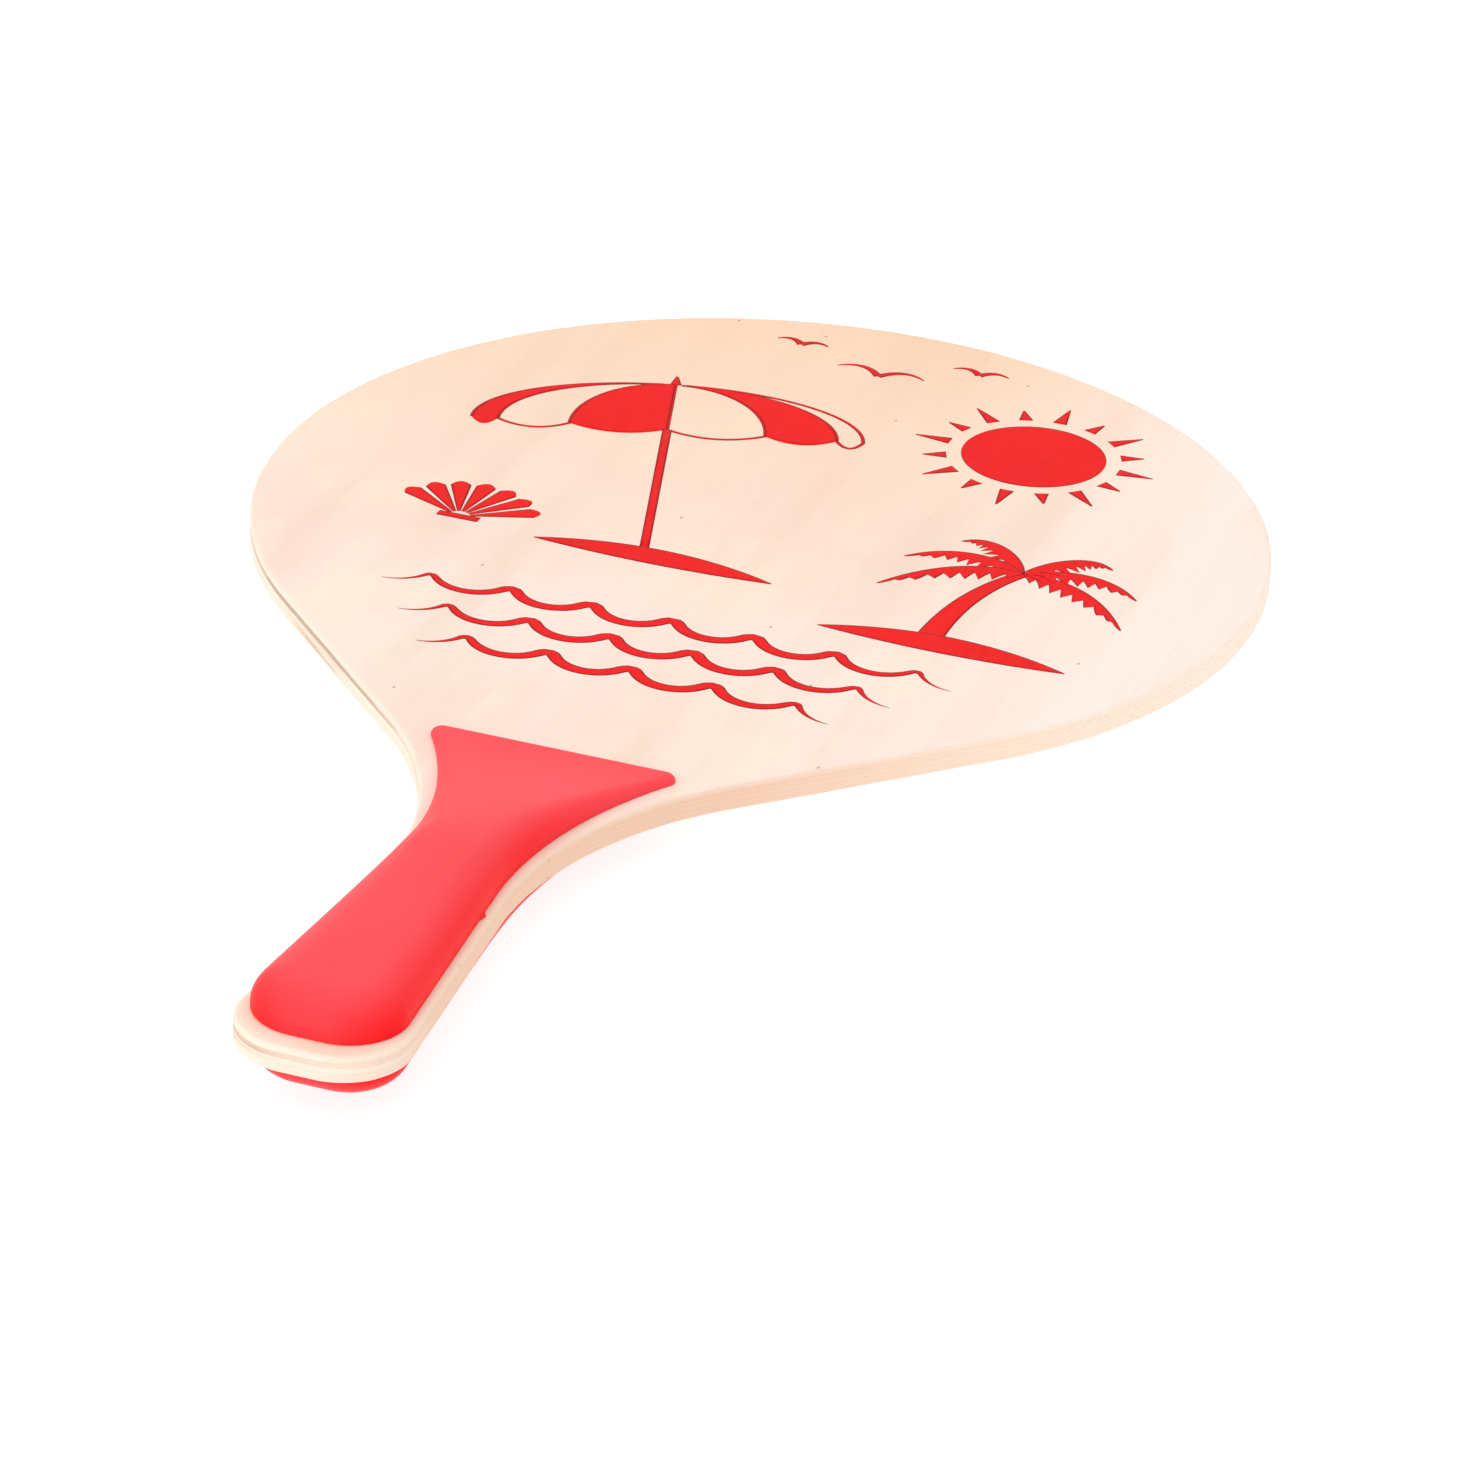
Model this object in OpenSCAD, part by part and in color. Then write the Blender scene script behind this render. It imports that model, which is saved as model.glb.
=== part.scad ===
// Wooden beach game paddle: a round plywood blade whose neck runs into a handle,
// with a moulded grip half on each face. Pegs on the front half go through the
// board into sockets in the rear half.
// +X runs across the paddle, +Y from the butt to the tip, +Z out of the front face.
// The origin is at the middle of the length, in the plane that the rear grip rests on.

/* [Board] */
// Length from the butt to the tip of the blade
overall_length = 380; // [330:1:430]
// Diameter of the round blade
blade_d = 232; // [200:1:260]
// Angle between the straight shoulders and the handle's axis
shoulder_angle = 44.5; // [35:0.5:55]
// Radius of the concave neck between each shoulder and the handle
neck_r = 88; // [60:1:110]
// Width of the board at the butt, measured between its straight sides
butt_w = 38.5; // [33:0.5:46]
// Angle by which each side of the handle narrows from the butt to the neck
handle_taper = 4.3; // [1:0.1:5]
// Radius of the two corners of the butt
butt_corner_r = 14.5; // [6:0.5:16]

/* [Veneers] */
// Thickness of the front and rear veneers
face_ply_t = 1.1; // [0.8:0.1:2.5]
// Thickness of the two veneers whose grain runs across the paddle
cross_ply_t = 1.2; // [0.8:0.1:2.5]
// Thickness of the middle veneer
core_ply_t = 1.2; // [0.8:0.1:3]

/* [Grip halves] */
// Height of the grip's flat crest above the board
grip_h = 9; // [7:0.5:12]
// Height of the grip's front edge above the board
grip_front_h = 1.8; // [1.5:0.1:4]
// Distance from the board's straight sides to the grip
grip_side_inset = 1.8; // [1:0.1:4]
// Distance from the board's butt to the grip
grip_butt_inset = 5; // [2:0.5:8]
// Radius of the grip's corners at the butt
grip_butt_r = 12.5; // [9:0.5:14]
// Distance that the grip's front edge stays short of the end of the neck's curve
fan_short = 1.5; // [-8:0.5:10]
// Distance from each end of the grip's front edge to the board's edge, straight across
fan_margin = 8; // [5:0.1:12]
// Radius of the concave sides of the grip's fan
grip_neck_r = 100; // [70:1:120]
// Radius of the two corners of the grip's front edge
fan_corner_r = 2.5; // [2:0.1:5]
// Length over which the crest comes down to the front edge
ramp_len = 62; // [45:1:70]
// Width of the rounding between the grip's flanks and its flat crest
crest_round = 10; // [6:0.5:11]
// Wall of the hollow grip
grip_wall = 2; // [1.5:0.1:2.6]
// Solid length at the thin front end of the grip
solid_front = 30; // [26:1:36]

/* [Pegs] */
// Number of pegs that join the grip halves
peg_count = 3; // [2:1:4]
// Diameter of a peg
peg_d = 5; // [3:0.1:6]
// Gap around a peg in the board, all round
board_clearance = 0.2; // [0.05:0.05:0.4]
// Gap around a peg in its socket, all round
socket_clearance = 0.05; // [0.02:0.01:0.2]
// Wall of a socket, and of the collar that a peg stands on
socket_wall = 1.8; // [1.2:0.1:2.5]
// Depth of a socket, where the grip is high enough for it
socket_depth = 6; // [3:0.5:6.5]
// Gap between the end of a peg and the floor of its socket
peg_end_gap = 0.5; // [0.2:0.1:1]
// Distance from the grip's butt end to the first peg's axis
first_peg = 20; // [14:1:26]
// Distance from the last peg's axis to the front end of the grip's hollow
last_peg = 16; // [10:1:24]

/* [Hidden] */
$fn = 180;

// Parts of the flank's rounding and of the grip's curves, in straight steps
round_steps = 6;
corner_steps = 8;
side_steps = 4;
neck_steps = 18;
// Distance that a cut runs past the face that it opens
past = 1;
// Overlap of an arc and the straight line that it touches, so that the two meet in one clean edge
touch = 0.001;
// Share of the grip's height that the rounding takes, above an upright foot
height_share = 0.85;
// Largest share of a corner's radius that the rounding takes
corner_share = 0.8;

board_t = 2 * face_ply_t + 2 * cross_ply_t + core_ply_t;
rear_face_z = grip_h;
front_face_z = rear_face_z + board_t;

// The board's edge, right half: round blade, straight shoulder, concave neck, tapered handle
blade_r = blade_d / 2;
blade_y = overall_length - blade_r;
// Unit vectors along a shoulder and a handle side, both towards the tip, and out of that side
shoulder_run = [sin(shoulder_angle), cos(shoulder_angle)];
side_run = [-sin(handle_taper), cos(handle_taper)];
side_out = [cos(handle_taper), sin(handle_taper)];
// Where the shoulder leaves the blade
shoulder_top = [0, blade_y] + blade_r * [cos(shoulder_angle), -sin(shoulder_angle)];
// Where the straight shoulder and the straight handle side would cross
shoulder_len = (shoulder_top.x - side_x(shoulder_top.y))
    / (shoulder_run.x + tan(handle_taper) * shoulder_run.y);
crossing = shoulder_top - shoulder_len * shoulder_run;
// The neck's curve touches both lines
neck_reach = neck_r * tan((shoulder_angle + handle_taper) / 2);
neck_top = crossing + neck_reach * shoulder_run;
neck_foot = crossing - neck_reach * side_run;
neck_centre = neck_foot + neck_r * side_out;
// The butt's corner touches the end and the side
butt_r = min(butt_corner_r, butt_w / 2 / (tan(handle_taper) + 1 / cos(handle_taper)));
butt_corner = corner_centre(0, butt_r, 0);

// Half width of the board's straight handle side at a distance y from the butt
function side_x(y) = butt_w / 2 - y * tan(handle_taper);
// Centre of a corner of radius r between an end at y and a side that lies inset inside the board's
function corner_centre(y, r, inset) = [side_x(y + r) - (inset + r) / cos(handle_taper), y + r];
// Unit vector at an angle
function heading(a) = [cos(a), sin(a)];

// The grip's plan: front edge across the neck, concave sides, straight handle sides, rounded butt
grip_front = neck_top.y - fan_short;
fan_half = neck_top.x - fan_short * tan(shoulder_angle) - fan_margin;
fan_corner = [fan_half, grip_front];
ramp_start = grip_front - ramp_len;
// How far the fan's corner stands outside the straight handle side
fan_spread = (fan_half - side_x(grip_front)) * cos(handle_taper) + grip_side_inset;
// The fan's side is an arc that touches the straight side and ends in the fan's corner
fan_side_len = sqrt(fan_spread * (2 * grip_neck_r - fan_spread));
fan_side_foot = fan_corner - fan_spread * side_out - fan_side_len * side_run;
fan_side_centre = fan_side_foot + grip_neck_r * side_out;
cavity_front = grip_front - solid_front;

// Height of the crest at a distance y from the butt: level, then a smooth fall to the front edge
function fall(s) = s * s * (3 - 2 * s);
function crest(y) = grip_h - (grip_h - grip_front_h) * fall(min(1, max(0, (y - ramp_start) / ramp_len)));
// Width of the rounding along the crest, held to what the height and the corners leave room for
round_share = corner_share * fan_corner_r / grip_front_h;
function rounding(y) = min(crest_round, corner_share * grip_butt_r, round_share * crest(y));
// The cavity's front corners are wide enough for the rounding behind them
cavity_corner_r = (rounding(cavity_front - crest_round) - grip_wall) / corner_share;

// Right half of the grip's plan, moved inwards by inset and cut off at front with corners of radius r_fan.
// Each entry is a point and the unit vector that points into the grip there.
function grip_plan(inset, front, r_fan) =
    let (butt_y = grip_butt_inset + inset,
         r_butt = max(grip_butt_r - inset, past),
         butt_c = corner_centre(butt_y, r_butt, grip_side_inset + inset),
         r_side = grip_neck_r + inset,
         fan_y = front - r_fan,
         fan_x = fan_side_centre.x - sqrt(pow(r_side + r_fan, 2) - pow(fan_y - fan_side_centre.y, 2)),
         fan_c = [fan_x, fan_y],
         fan_a = atan2(fan_y - fan_side_centre.y, fan_x - fan_side_centre.x),
         side_low = butt_c + r_butt * side_out,
         side_high = fan_side_foot - inset * side_out)
    concat(
        [for (i = [0 : corner_steps]) let (a = -90 + (90 + handle_taper) * i / corner_steps)
            [butt_c + r_butt * heading(a), -heading(a)]],
        [for (i = [1 : side_steps - 1]) [side_low + (side_high - side_low) * i / side_steps, -side_out]],
        [for (i = [0 : neck_steps]) let (a = 180 + handle_taper + (fan_a - 180 - handle_taper) * i / neck_steps)
            [fan_side_centre + r_side * heading(a), heading(a)]],
        [for (i = [1 : corner_steps]) let (a = fan_a - 180 + (270 - fan_a) * i / corner_steps)
            [fan_c + r_fan * heading(a), -heading(a)]]);

// A grip's solid on the plane z = 0. Each point of the plan carries one flank profile, an upright
// foot and a quarter of an ellipse, up to the crest. The cavity is the same form, moved in by its wall.
module grip_form(inset, front, r_fan, base_z) {
    plan = grip_plan(inset, front, r_fan);
    last = len(plan) - 1;
    ring_size = 2 * len(plan);
    both = concat([for (p = plan) p], [for (i = [last : -1 : 0]) [[-plan[i][0].x, plan[i][0].y],
                                                                  [-plan[i][1].x, plan[i][1].y]]]);
    base = [for (p = both) [p[0].x, p[0].y, base_z]];
    rings = [for (k = [0 : round_steps]) for (p = both)
        let (a = 90 * k / round_steps,
             width = max(rounding(p[0].y) - inset, past),
             at = p[0] + width * (1 - cos(a)) * p[1])
        [at.x, at.y, (crest(at.y) - inset) * (1 - height_share + height_share * sin(a))]];
    top = (round_steps + 1) * ring_size;
    walls = [for (k = [0 : round_steps]) for (i = [0 : ring_size - 1])
        let (j = (i + 1) % ring_size, a = k * ring_size, b = a + ring_size)
        each [[a + i, b + i, b + j], [a + i, b + j, a + j]]];
    // The base and the crest are strips from the right half of the plan straight across to the left
    strips = [for (i = [0 : last - 1]) let (j = ring_size - 1 - i)
        each [[i, j, j - 1], [i, j - 1, i + 1]]];
    base_faces = [for (f = strips) [f[2], f[1], f[0]]];
    crest_faces = [for (f = strips) [top + f[0], top + f[1], top + f[2]]];
    polyhedron(concat(base, rings), concat(base_faces, walls, crest_faces));
}

// Distances of the pegs' axes from the butt
peg_low = grip_butt_inset + first_peg;
peg_high = cavity_front - last_peg;
peg_y = [for (i = [0 : peg_count - 1]) peg_low + (peg_high - peg_low) * i / (peg_count - 1)];
collar_d = peg_d + 2 * socket_wall;
socket_d = peg_d + 2 * socket_clearance;
// A boss at y ends inside the wall of the crest there, and a socket leaves that wall whole
function boss_h(y) = crest(y) - grip_wall / 2;
function socket_h(y) = min(socket_depth, crest(y) - grip_wall);
function peg_len(y) = board_t + socket_h(y) - peg_end_gap;

// Moves a piece from butt-based lengths to the paddle's own origin
module in_place(z) translate([0, -overall_length / 2, z]) children();

module board_outline() {
    side_low = butt_corner + butt_r * side_out;
    half = [[butt_corner.x, 0], side_low, neck_foot, neck_top, shoulder_top];
    difference() {
        union() {
            translate([0, blade_y]) circle(blade_r + touch);
            polygon(concat(half, [[0, blade_y]], [for (i = [len(half) - 1 : -1 : 0]) [-half[i].x, half[i].y]]));
            for (s = [-1, 1]) translate([s * butt_corner.x, butt_corner.y]) circle(butt_r + touch);
        }
        for (s = [-1, 1]) translate([s * neck_centre.x, neck_centre.y]) circle(neck_r + touch);
    }
}

// One veneer with its peg holes, from z upwards
module veneer(z, t) in_place(z) difference() {
    linear_extrude(t) board_outline();
    for (y = peg_y) translate([0, y, -past]) cylinder(d = peg_d + 2 * board_clearance, h = t + 2 * past);
}

// A hollow grip half that sits on z = 0 with its crest upwards
module grip_shell() difference() {
    grip_form(0, grip_front, fan_corner_r, 0);
    grip_form(grip_wall, cavity_front, cavity_corner_r, -past);
}

module rear_face_ply() color("#fbe6d2") veneer(rear_face_z, face_ply_t);

module rear_cross_ply() color("#dcc3a6") veneer(rear_face_z + face_ply_t, cross_ply_t);

module core_ply() color("#f3dcc2") veneer(rear_face_z + face_ply_t + cross_ply_t, core_ply_t);

module front_cross_ply() color("#dcc3a6") veneer(front_face_z - face_ply_t - cross_ply_t, cross_ply_t);

module front_face_ply() color("#fbe6d2") veneer(front_face_z - face_ply_t, face_ply_t);

// The front half: each peg stands on a collar that seats on the board
module front_grip() color("#f4323a") in_place(front_face_z) {
    grip_shell();
    for (y = peg_y) translate([0, y]) {
        cylinder(d = collar_d, h = boss_h(y));
        translate([0, 0, -peg_len(y)]) cylinder(d = peg_d, h = peg_len(y) + boss_h(y));
    }
}

// The rear half: the same shell turned over, with a socket for each peg
module rear_grip() color("#f4323a") in_place(rear_face_z) mirror([0, 0, 1]) difference() {
    union() {
        grip_shell();
        for (y = peg_y) translate([0, y]) cylinder(d = collar_d, h = boss_h(y));
    }
    for (y = peg_y) translate([0, y, -past]) cylinder(d = socket_d, h = socket_h(y) + past);
}

front_face_ply();
front_cross_ply();
core_ply();
rear_cross_ply();
rear_face_ply();
front_grip();
rear_grip();
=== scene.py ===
"""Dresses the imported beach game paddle: a sanded plywood board, two moulded grip halves and a print.

Shapes are worked out in millimetres in the part's own frame: +X across the paddle, +Y from the butt to
the tip, +Z out of the printed face. They become metres when a mesh is made.
"""
import math

import bpy
import numpy as np
from mathutils import Matrix, Vector


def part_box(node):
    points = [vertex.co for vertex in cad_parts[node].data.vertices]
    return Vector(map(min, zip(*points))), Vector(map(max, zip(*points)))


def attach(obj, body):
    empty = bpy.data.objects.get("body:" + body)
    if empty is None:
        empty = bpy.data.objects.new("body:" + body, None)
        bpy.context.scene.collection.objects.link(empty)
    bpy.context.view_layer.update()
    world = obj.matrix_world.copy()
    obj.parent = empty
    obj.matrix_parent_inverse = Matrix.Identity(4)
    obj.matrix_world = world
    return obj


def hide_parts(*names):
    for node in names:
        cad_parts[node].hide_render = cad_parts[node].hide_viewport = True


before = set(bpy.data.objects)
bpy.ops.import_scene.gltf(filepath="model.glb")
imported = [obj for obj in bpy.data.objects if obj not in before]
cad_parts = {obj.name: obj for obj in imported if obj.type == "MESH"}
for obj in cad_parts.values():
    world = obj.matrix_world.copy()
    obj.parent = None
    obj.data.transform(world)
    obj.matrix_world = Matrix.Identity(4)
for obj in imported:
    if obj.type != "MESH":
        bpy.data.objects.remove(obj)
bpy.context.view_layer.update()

MM = 0.001
QUARTER = math.pi / 2


def box_mm(node):
    """Lowest and highest corner of a CAD node, in millimetres."""
    low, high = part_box(node)
    return np.array(low) / MM, np.array(high) / MM


# Sizes read from the frame
PLIES = [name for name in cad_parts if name.endswith("_ply")]
face_low, face_high = box_mm("front_face_ply")
rear_low = box_mm("rear_face_ply")[0]
grip_low, grip_high = box_mm("front_grip")
BUTT_Y = face_low[1]
FRONT_Z = face_high[2]
REAR_Z = rear_low[2]
GRIP_H = grip_high[2] - FRONT_Z
GRIP_BUTT_Y = grip_low[1]
GRIP_FRONT_Y = grip_high[1]

# The board's edge, sizes as in the part's source
OVERALL_LENGTH = 380.0
BLADE_R = 116.0
SHOULDER_ANGLE = math.radians(44.5)
HANDLE_TAPER = math.radians(4.3)
NECK_R = 88.0
BUTT_W = 38.5
BUTT_CORNER_R = 14.5

# The grip halves, sizes as in the part's source
GRIP_SIDE_INSET = 1.8
GRIP_BUTT_R = 12.5
GRIP_NECK_R = 100.0
GRIP_FRONT_H = 1.8
FAN_MARGIN = 8.0
FAN_CORNER_R = 2.5
RAMP_LEN = 62.0
CREST_ROUND = 10.0
HEIGHT_SHARE = 0.85
CORNER_SHARE = 0.8
ROUND_SHARE = CORNER_SHARE * FAN_CORNER_R / GRIP_FRONT_H

# Finish of the board that the solids leave out: sanded arrises, an uneven edge and grooved glue lines
ARRIS_R = 1.0
ARRIS_UNEVEN = 0.12
ARRIS_WAVES = (61.0, 23.0, 9.5)
RIM_UNEVEN = 0.06
RIM_WAVES = (37.0, 14.0, 5.3)
GLUE_GROOVE = 0.045
# Width of a flat strip of the face inside an arris
FACE_HOLD = 0.6
# Power by which the look of the edge gives way to that of the face over an arris
RIM_FADE = 0.7
# Turn by which each wave of an uneven edge starts ahead of the one before, in radians
WAVE_LEAD = 1.7

# Finish of the grips that the solids leave out: a crowned crest, an eased butt, a grooved seat and a nub
CREST_CROWN = 0.4
CROWN_FADE = 24.0
# Least half width of the crest for which the slope of the crown is worked out
LEAST_HALF_CREST = 1.0
BUTT_EASE = 1.6
BUTT_EASE_LEN = 34.0
SEAM_GROOVE = 0.25
# Shares of a flank's foot at which the groove ends, at most, and the nub ends
GROOVE_SHARE = 0.4
NUB_SHARE = 0.8
NUB_OUT = 0.8
NUB_HALF = 0.8
NUB_Y = 64.0
# How much painted sheen the foot of the butt end gets, where the foot of a side is 0 and the crest is 1
BUTT_SHEEN = 0.5

# How finely edges and rounds are divided: most distance and most turn between points, and counts
SPACING = 1.0
TURN_STEP = math.radians(5)
ROUND_STEPS = 12
CREST_COLUMNS = 25
# A flat face has no points inside its border
FLAT_COLUMNS = 2
# Faces that meet at more than this angle have a sharp edge between them
SHARP_ANGLE = math.radians(38)


def side_x(y):
    """Half width of the board's straight handle at y: half the butt's width, less what the taper takes."""
    return BUTT_W / 2 - (y - BUTT_Y) * math.tan(HANDLE_TAPER)


def corner_centre(y, radius, inset):
    """Centre of a corner between an end at y and a side that lies inset inside the board's own."""
    return np.array([side_x(y + radius) - (inset + radius) / math.cos(HANDLE_TAPER), y + radius])


# Unit vectors along a shoulder and a handle side, both towards the tip, and out of that side
shoulder_run = np.array([math.sin(SHOULDER_ANGLE), math.cos(SHOULDER_ANGLE)])
side_run = np.array([-math.sin(HANDLE_TAPER), math.cos(HANDLE_TAPER)])
side_out = np.array([math.cos(HANDLE_TAPER), math.sin(HANDLE_TAPER)])
blade_centre = np.array([0.0, BUTT_Y + OVERALL_LENGTH - BLADE_R])
shoulder_top = blade_centre + BLADE_R * np.array([math.cos(SHOULDER_ANGLE), -math.sin(SHOULDER_ANGLE)])
# Where the straight shoulder and the straight handle side would cross, and the neck that touches both
shoulder_slant = shoulder_run[0] + math.tan(HANDLE_TAPER) * shoulder_run[1]
shoulder_len = (shoulder_top[0] - side_x(shoulder_top[1])) / shoulder_slant
crossing = shoulder_top - shoulder_len * shoulder_run
neck_reach = NECK_R * math.tan((SHOULDER_ANGLE + HANDLE_TAPER) / 2)
neck_top = crossing + neck_reach * shoulder_run
neck_foot = crossing - neck_reach * side_run
neck_centre = neck_foot + NECK_R * side_out
butt_corner = corner_centre(BUTT_Y, BUTT_CORNER_R, 0)

# The grip's fan: an arc that touches the straight side and ends in the fan's corner
fan_half = neck_top[0] + (GRIP_FRONT_Y - neck_top[1]) * math.tan(SHOULDER_ANGLE) - FAN_MARGIN
fan_corner = np.array([fan_half, GRIP_FRONT_Y])
fan_spread = (fan_half - side_x(GRIP_FRONT_Y)) * math.cos(HANDLE_TAPER) + GRIP_SIDE_INSET
fan_side_len = math.sqrt(fan_spread * (2 * GRIP_NECK_R - fan_spread))
fan_side_foot = fan_corner - fan_spread * side_out - fan_side_len * side_run
fan_side_centre = fan_side_foot + GRIP_NECK_R * side_out
ramp_start = GRIP_FRONT_Y - RAMP_LEN


def heading(angle):
    """Unit vectors at the angles given: their cosines and sines."""
    return np.stack([np.cos(angle), np.sin(angle)], axis=-1)


def smooth(value):
    """Eases a value from 0 to 1 in and out: three times its square less twice its cube."""
    share = np.clip(value, 0, 1)
    return share * share * (3 - 2 * share)


def hump(share):
    """A parabola that is 0 at both ends of a share and 1 half-way: four times the share times its rest."""
    return 4 * share * (1 - share)


def arc(centre, radius, start, end, hollow=False, whole=False):
    """Points round an arc and the unit vectors that point outwards there. A hollow arc curves into the
    piece, so its vectors point at its centre. Only a whole arc has its end point."""
    count = math.ceil(abs(end - start) / min(TURN_STEP, SPACING / radius))
    turn = heading(np.linspace(start, end, count + whole, endpoint=whole))
    return centre + radius * turn, -turn if hollow else turn


def line(start, end):
    """Points along a straight stretch, without its end point, and the unit vector out of its right side."""
    run = end - start
    length = np.linalg.norm(run)
    share = np.linspace(0, 1, math.ceil(length / SPACING), endpoint=False)
    out = np.array([run[1], -run[0]]) / length
    return start + share[:, None] * run, np.broadcast_to(out, (len(share), 2))


def chain(*stretches):
    """One edge from several stretches: all their points, and all their outward vectors."""
    points, outs = zip(*stretches)
    return np.concatenate(points), np.concatenate(outs)


def board_edge():
    """Right half of the board's edge, butt to tip: butt corner, tapered side, hollow neck, straight
    shoulder and the blade's arc."""
    return chain(
        arc(butt_corner, BUTT_CORNER_R, -QUARTER, HANDLE_TAPER),
        line(butt_corner + BUTT_CORNER_R * side_out, neck_foot),
        arc(neck_centre, NECK_R, math.pi + HANDLE_TAPER, math.pi - SHOULDER_ANGLE, hollow=True),
        line(neck_top, shoulder_top),
        arc(blade_centre, BLADE_R, -SHOULDER_ANGLE, QUARTER),
    )


def grip_edge():
    """Right half of a grip's edge, butt to fan: butt corner, tapered side, hollow fan side, fan corner."""
    corner = corner_centre(GRIP_BUTT_Y, GRIP_BUTT_R, GRIP_SIDE_INSET)
    fan_y = GRIP_FRONT_Y - FAN_CORNER_R
    reach = GRIP_NECK_R + FAN_CORNER_R
    fan_x = fan_side_centre[0] - math.sqrt(reach ** 2 - (fan_y - fan_side_centre[1]) ** 2)
    fan_turn = math.atan2(fan_y - fan_side_centre[1], fan_x - fan_side_centre[0])
    return chain(
        arc(corner, GRIP_BUTT_R, -QUARTER, HANDLE_TAPER),
        line(corner + GRIP_BUTT_R * side_out, fan_side_foot),
        arc(fan_side_centre, GRIP_NECK_R, math.pi + HANDLE_TAPER, fan_turn, hollow=True),
        arc(np.array([fan_x, fan_y]), FAN_CORNER_R, fan_turn - math.pi, QUARTER, whole=True),
    )


def whole_ring(edge, columns):
    """A closed ring from a right half edge: up the right side, straight across the far end, down the
    mirrored left side and straight across the butt. Each crossing has columns points, ends included."""
    points, outs = edge
    mirror = np.array([-1, 1])
    left, left_outs = points[::-1] * mirror, outs[::-1] * mirror
    share = np.linspace(0, 1, columns)[1:-1, None]
    far = points[-1] + share * (left[0] - points[-1])
    butt = left[-1] + share * (points[0] - left[-1])
    far_outs = np.broadcast_to([0.0, 1.0], far.shape)
    butt_outs = np.broadcast_to([0.0, -1.0], butt.shape)
    ring = np.concatenate([points, far, left, butt])
    return ring, np.concatenate([outs, far_outs, left_outs, butt_outs])


def stack_rings(ring, outs, depth, height):
    """A profile carried round an edge: ring k of the result lies depth[k] inside it, at height[k]."""
    depth, height = np.broadcast_arrays(depth, height)
    inside = ring - depth[..., None] * outs
    return np.concatenate([inside, height[..., None]], axis=-1)


def wall_faces(rings, size):
    """Quads between each ring of size points and the next one, facing outwards."""
    low = np.arange(rings - 1)[:, None] * size + np.arange(size)
    ahead = np.roll(low, -1, axis=1)
    return np.stack([low, ahead, ahead + size, low + size], axis=-1).reshape(-1, 4)


def grid_faces(index):
    """Quads of a grid of vertex numbers."""
    corners = [index[:-1, :-1], index[1:, :-1], index[1:, 1:], index[:-1, 1:]]
    return np.stack(corners, axis=-1).reshape(-1, 4)


def cap_index(first, half, columns, inner_first=0):
    """Vertex numbers of a grid that closes a ring: its rows run straight across from the right half to
    the left half, its border is the ring that starts at first, and its inside starts at inner_first."""
    across = columns - 2
    index = np.empty((half, columns), int)
    index[1:-1, 1:-1] = inner_first + np.arange((half - 2) * across).reshape(half - 2, across)
    index[:, 0] = first + np.arange(half)
    index[-1, 1:-1] = first + half + np.arange(across)
    index[:, -1] = first + half + across + np.arange(half)[::-1]
    index[0, 1:-1] = first + 2 * half + across + np.arange(across)[::-1]
    return index


def waver(points, lengths):
    """A smooth unevenness from 0 to 1 along an edge: the mean of sine waves of the lengths given, in
    millimetres, that run along the edge and never fall in step."""
    steps = np.linalg.norm(np.diff(points, axis=0, prepend=points[:1]), axis=1)
    run = np.cumsum(steps)
    waves = [np.sin(2 * math.pi * run / length + WAVE_LEAD * i) for i, length in enumerate(lengths)]
    return 0.5 + 0.5 * np.mean(waves, axis=0)


def make_piece(name, vertices, faces, material, values, replaces=None):
    """Puts one piece into the scene: vertices in millimetres, its material, a value per
    vertex that its material reads as "rim", and the CAD node that it stands for."""
    mesh = bpy.data.meshes.new(name)
    mesh.from_pydata((vertices * MM).tolist(), [], faces.tolist())
    mesh.materials.append(material)
    mesh.attributes.new("rim", "FLOAT", "POINT").data.foreach_set("value", values.astype(np.float32))
    mesh.shade_smooth()
    mesh.set_sharp_from_angle(angle=SHARP_ANGLE)
    made = bpy.data.objects.new(name, mesh)
    bpy.context.scene.collection.objects.link(made)
    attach(made, "root")
    if replaces:
        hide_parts(replaces)
    return made


# Materials

# Lacquer on wood, ABS and dried ink all have nearly the same IOR
PLASTIC_IOR = 1.5
# Every material's fine relief: its bump, its finer levels, and the stretch of it that moves the roughness
BUMP_STRENGTH = 0.3
RELIEF_DETAIL = 3.0
RELIEF_SPAN = (0.3, 0.7)
# Flecks: how strong, the share of one at full strength, and the shades over which cells come to have one
FLECK_MOST = 0.55
FLECK_CORE = 0.5
FLECK_SHADE = (0.62, 0.64)

# Sizes of patterns along X, Y and Z, in millimetres

# Real fibres and pores are about 0.06 mm wide, drawn here six to eight times as coarse to show
FIBRES_ALONG = (0.5, 12.0, 0.35)
FIBRES_ACROSS = (12.0, 0.5, 0.35)
PORES = (0.5, 16.0, 0.5)
# Clouds and bands of colour in the face
PINK_CLOUDS = (46.0, 70.0, 46.0)
CREAM_CLOUDS = (27.0, 40.0, 27.0)
FACE_BANDS = (17.0, 150.0, 17.0)
# Cells, along X and Y alone, that may hold a fleck in the face or a nick in its edge
FLECK_CELL = (24.0, 36.0)
NICK_CELL = (24.0, 24.0)
# Patches in which hands soil an edge, partly painted shade on the paddle's left, about half as high as the
# board is thick
STAIN_PATCH = (46.0, 46.0, 3.1)
# Patches in which a moulding's red drifts, hair scuffs in it, and patches of thicker ink
RED_PATCH = (30.0, 60.0, 30.0)
HAIR_SCUFFS = (0.25, 9.0, 0.25)
INK_CLOUDS = (18.0, 18.0, 18.0)
# A blasted mould's grit is about 0.05 mm, drawn here six times as coarse to show
MOULD_GRIT = (0.3, 0.3, 0.3)
FLOOR_CLOUDS = (90.0, 90.0, 90.0)

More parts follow.
